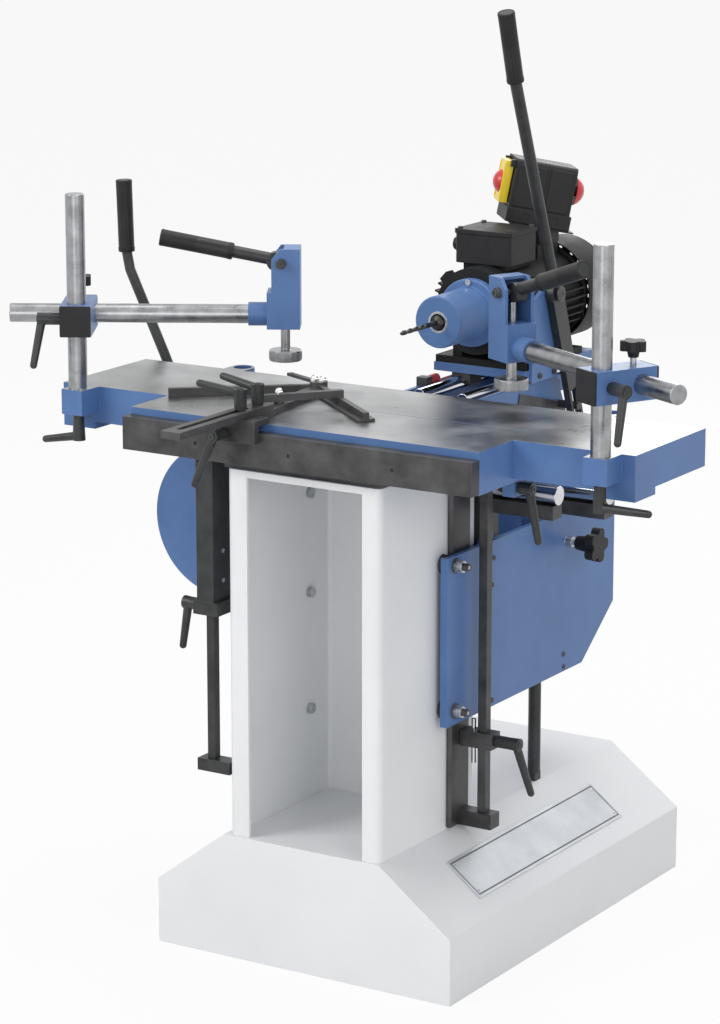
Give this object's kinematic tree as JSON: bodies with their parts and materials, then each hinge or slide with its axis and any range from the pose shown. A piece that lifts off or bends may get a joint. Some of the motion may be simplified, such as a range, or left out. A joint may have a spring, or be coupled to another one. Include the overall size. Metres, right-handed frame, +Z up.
{
  "type": "horizontal slot mortiser",
  "caption": "Floor-standing horizontal slot mortiser: hollow base, open column, cast table with lever clamps and stop, and a motor on cross slides worked by long levers.",
  "frame": {"origin": "on the floor in the middle of the base's four anchor holes", "axes": "+X to the operator's right along the table, +Y away from the operator along the drill, +Z up"},
  "size_m": [1.2727, 1.012, 1.5559],
  "materials": {
    "cast_blue": "blue semi-gloss paint",
    "sheet_grey": "light grey textured powder coat",
    "ground_iron": "ground top, blue painted sides",
    "black_steel": "black oxide steel",
    "bright_steel": "ground bar",
    "chrome_bar": "hard chromed bar",
    "black_plastic": "black moulded plastic",
    "motor_black": "black painted die casting",
    "plain_plate": "plain bright plate without lettering",
    "yellow_plastic": "yellow flap with a red knob",
    "red_plastic": "red button",
    "zinc": "zinc plated screws"
  },
  "bodies": {
    "frame": {"base": "sheet_grey", "name_plate": "plain_plate", "column": "sheet_grey", "lift_rails": "black_steel", "table_mount_plate": "black_steel", "table_centre": "ground_iron", "table_wing_right": "ground_iron", "table_wing_left": "ground_iron", "fence_rail": "black_steel", "clamp_posts": "bright_steel", "table_prop": "black_steel", "frame_screws": "zinc", "strut_tube": "black_steel"},
    "height_stop": {"height_stop_block": "black_steel"},
    "height_stop_lever": {"height_stop_lever": "black_plastic"},
    "prop_lever": {"prop_lever": "black_plastic"},
    "table_lock_lever": {"table_lock_lever": "black_plastic"},
    "post_lever_right": {"post_lever_right": "black_plastic"},
    "post_lever_left": {"post_lever_left": "black_plastic"},
    "carriage": {"carriage_frame": "cast_blue", "guide_bars": "chrome_bar", "strut_rod": "chrome_bar", "lever_disc": "cast_blue"},
    "rollers_lower": {"rollers_lower": "black_steel"},
    "rollers_upper": {"rollers_upper": "black_steel"},
    "carriage_knob": {"carriage_knob": "black_plastic"},
    "long_slide": {"long_slide": "cast_blue", "depth_rails": "chrome_bar"},
    "cross_lever": {"cross_lever": "black_steel"},
    "depth_slide": {"depth_plate": "cast_blue", "motor_body": "motor_black", "nose_housing": "cast_blue", "fan_cowl": "motor_black", "terminal_box": "black_plastic", "switch_housing": "black_plastic"},
    "rotor": {"rotor": "black_steel", "drill_bit": "black_steel"},
    "switch_flap": {"switch_flap": "yellow_plastic"},
    "mushroom_button": {"mushroom_button": "red_plastic"},
    "depth_lever": {"depth_lever": "black_steel"},
    "stop_claw": {"stop_claw": "black_steel"},
    "stop_bar": {"stop_bar": "black_steel"},
    "stop_vee": {"stop_vee": "black_steel"},
    "stop_lever_claw": {"stop_lever_claw": "black_plastic"},
    "stop_lever_front": {"stop_lever_front": "black_plastic"},
    "stop_lever_rear": {"stop_lever_rear": "black_plastic"},
    "clamp_block_right": {"clamp_block_right": "cast_blue"},
    "clamp_arm_right": {"clamp_arm_right": "bright_steel", "clamp_head_right": "cast_blue"},
    "clamp_handle_right": {"clamp_handle_right": "black_steel"},
    "clamp_plunger_right": {"clamp_plunger_right": "bright_steel"},
    "clamp_lever_right": {"clamp_lever_right": "black_plastic"},
    "clamp_knob_right": {"clamp_knob_right": "black_plastic"},
    "clamp_block_left": {"clamp_block_left": "cast_blue"},
    "clamp_arm_left": {"clamp_arm_left": "bright_steel", "clamp_head_left": "cast_blue"},
    "clamp_handle_left": {"clamp_handle_left": "black_steel"},
    "clamp_plunger_left": {"clamp_plunger_left": "bright_steel"},
    "clamp_lever_left": {"clamp_lever_left": "black_plastic"},
    "clamp_knob_left": {"clamp_knob_left": "black_plastic"}
  },
  "joints": [
    {"name": "height_stop_slide", "type": "slide", "parent": "frame", "child": "height_stop", "axis": [0, 0, 1], "range_m": [-0.078, 0]},
    {"name": "height_stop_lever_turn", "type": "hinge", "parent": "height_stop", "child": "height_stop_lever", "pos_m": [0.222, -0.148, 0.3695], "axis": [1, 0, 0], "range_deg": [-30, 30]},
    {"name": "prop_lever_turn", "type": "hinge", "parent": "frame", "child": "prop_lever", "pos_m": [-0.208, -0.38, 0.5955], "axis": [-1, 0, 0], "range_deg": [-30, 30]},
    {"name": "table_lock_lever_turn", "type": "hinge", "parent": "frame", "child": "table_lock_lever", "pos_m": [0.29, -0.2, 0.818], "axis": [1, 0, 0], "range_deg": [-30, 30]},
    {"name": "post_lever_right_turn", "type": "hinge", "parent": "frame", "child": "post_lever_right", "pos_m": [0.5, -0.321, 0.874], "axis": [0, 0, 1], "range_deg": [-40, 40]},
    {"name": "post_lever_left_turn", "type": "hinge", "parent": "frame", "child": "post_lever_left", "pos_m": [-0.492, -0.321, 0.874], "axis": [0, 0, 1], "range_deg": [-40, 40]},
    {"name": "carriage_lift", "type": "slide", "parent": "frame", "child": "carriage", "axis": [0, 0, 1], "range_m": [-0.02, 0.04]},
    {"name": "rollers_lower_roll", "type": "hinge", "parent": "carriage", "child": "rollers_lower", "pos_m": [0.004, -0.2029, 0.428], "axis": [1, 0, 0], "range_deg": [-160, 82]},
    {"name": "rollers_upper_roll", "type": "hinge", "parent": "carriage", "child": "rollers_upper", "pos_m": [0.004, -0.2029, 0.674], "axis": [1, 0, 0], "range_deg": [-160, 82]},
    {"name": "carriage_knob_turn", "type": "hinge", "parent": "carriage", "child": "carriage_knob", "pos_m": [0.187, 0.176, 0.635], "axis": [1, 0, 0], "range_deg": [-180, 180]},
    {"name": "long_slide_travel", "type": "slide", "parent": "carriage", "child": "long_slide", "axis": [1, 0, 0], "range_m": [-0.11, 0.05]},
    {"name": "cross_lever_turn", "type": "hinge", "parent": "carriage", "child": "cross_lever", "pos_m": [-0.402, 0, 0.64], "axis": [0, 1, 0], "range_deg": [-34.6, 15.9]},
    {"name": "depth_slide_travel", "type": "slide", "parent": "long_slide", "child": "depth_slide", "axis": [0, 1, 0], "range_m": [-0.03, 0.07]},
    {"name": "depth_lever_turn", "type": "hinge", "parent": "depth_slide", "child": "depth_lever", "pos_m": [0.151, 0.166, 1.065], "axis": [1, 0, 0], "range_deg": [-18.4, 8]},
    {"name": "spindle_turn", "type": "hinge", "parent": "depth_slide", "child": "rotor", "pos_m": [0.045, 0, 1.038], "axis": [0, -1, 0], "continuous": true},
    {"name": "switch_flap_open", "type": "hinge", "parent": "depth_slide", "child": "switch_flap", "pos_m": [0.00982, 0.2588, 1.26926], "axis": [-0.6428, 0.766, 0], "range_deg": [0, 92]},
    {"name": "mushroom_press", "type": "slide", "parent": "depth_slide", "child": "mushroom_button", "axis": [-0.752, -0.631, 0.1908], "range_m": [0, 0.006], "stiffness_N_per_m": 900, "springref_m": -0.003},
    {"name": "clamp_right_swing", "type": "hinge", "parent": "frame", "child": "clamp_block_right", "pos_m": [0.5, -0.321, 1.028], "axis": [0, 0, 1], "range_deg": [-5, 25]},
    {"name": "clamp_right_reach", "type": "slide", "parent": "clamp_block_right", "child": "clamp_arm_right", "axis": [-0.8879, 0.46, 0], "range_m": [-0.06, 0.04]},
    {"name": "clamp_right_handle_turn", "type": "hinge", "parent": "clamp_arm_right", "child": "clamp_handle_right", "pos_m": [0.22922, -0.11541, 1.118], "axis": [-0.46, -0.8879, 0], "range_deg": [-32, 30]},
    {"name": "clamp_right_plunger_press", "type": "slide", "parent": "clamp_arm_right", "child": "clamp_plunger_right", "axis": [0, 0, -1], "range_m": [-0.0054, 0.0056]},
    {"name": "clamp_right_lever_turn", "type": "hinge", "parent": "clamp_block_right", "child": "clamp_lever_right", "pos_m": [0.52309, -0.33296, 1.028], "axis": [0.8879, -0.46, 0], "range_deg": [-30, 30]},
    {"name": "clamp_right_knob_turn", "type": "hinge", "parent": "clamp_block_right", "child": "clamp_knob_right", "pos_m": [0.52668, -0.2695, 1.054], "axis": [0, 0, 1], "range_deg": [-180, 180]},
    {"name": "clamp_left_swing", "type": "hinge", "parent": "frame", "child": "clamp_block_left", "pos_m": [-0.492, -0.321, 1.035], "axis": [0, 0, 1], "range_deg": [-12, 8]},
    {"name": "clamp_left_reach", "type": "slide", "parent": "clamp_block_left", "child": "clamp_arm_left", "axis": [0.8642, 0.5031, 0], "range_m": [-0.08, 0.03]},
    {"name": "clamp_left_handle_turn", "type": "hinge", "parent": "clamp_arm_left", "child": "clamp_handle_left", "pos_m": [-0.22648, -0.09931, 1.125], "axis": [-0.5031, 0.8642, 0], "range_deg": [-25, 30]},
    {"name": "clamp_left_plunger_press", "type": "slide", "parent": "clamp_arm_left", "child": "clamp_plunger_left", "axis": [0, 0, -1], "range_m": [-0.0054, 0.0056]},
    {"name": "clamp_left_lever_turn", "type": "hinge", "parent": "clamp_block_left", "child": "clamp_lever_left", "pos_m": [-0.51447, -0.33408, 1.035], "axis": [-0.8642, -0.5031, 0], "range_deg": [-30, 30]},
    {"name": "clamp_left_knob_turn", "type": "hinge", "parent": "clamp_block_left", "child": "clamp_knob_left", "pos_m": [-0.52118, -0.27088, 1.061], "axis": [0, 0, 1], "range_deg": [-180, 180]},
    {"name": "stop_claw_travel", "type": "slide", "parent": "frame", "child": "stop_claw", "axis": [1, 0, 0], "range_m": [-0.1, 0.1]},
    {"name": "stop_bar_travel", "type": "slide", "parent": "stop_claw", "child": "stop_bar", "axis": [0, 1, 0], "range_m": [-0.008, 0.04]},
    {"name": "stop_vee_swing", "type": "hinge", "parent": "stop_bar", "child": "stop_vee", "pos_m": [-0.1, -0.366, 0.922], "axis": [0, 0, 1], "range_deg": [-12, 12]},
    {"name": "stop_lever_claw_turn", "type": "hinge", "parent": "stop_claw", "child": "stop_lever_claw", "pos_m": [-0.12, -0.434, 0.904], "axis": [0, -1, 0], "range_deg": [-30, 30]},
    {"name": "stop_lever_front_turn", "type": "hinge", "parent": "stop_claw", "child": "stop_lever_front", "pos_m": [-0.1, -0.416, 0.94], "axis": [0, 0, 1], "range_deg": [-15, 15]},
    {"name": "stop_lever_rear_turn", "type": "hinge", "parent": "stop_bar", "child": "stop_lever_rear", "pos_m": [-0.1, -0.366, 0.94], "axis": [0, 0, 1], "range_deg": [-15, 15]}
  ],
  "couplings": [
    {"joint": "rollers_lower_roll", "follows": "carriage_lift", "rad_per_m": -68.966},
    {"joint": "rollers_upper_roll", "follows": "carriage_lift", "rad_per_m": -68.966},
    {"joint": "cross_lever_turn", "follows": "long_slide_travel", "rad_per_m": 5.433},
    {"joint": "depth_lever_turn", "follows": "depth_slide_travel", "rad_per_m": -4.5},
    {"joint": "clamp_right_plunger_press", "follows": "clamp_right_handle_turn", "m_per_rad": -0.0096},
    {"joint": "clamp_left_plunger_press", "follows": "clamp_left_handle_turn", "m_per_rad": -0.0096}
  ]
}
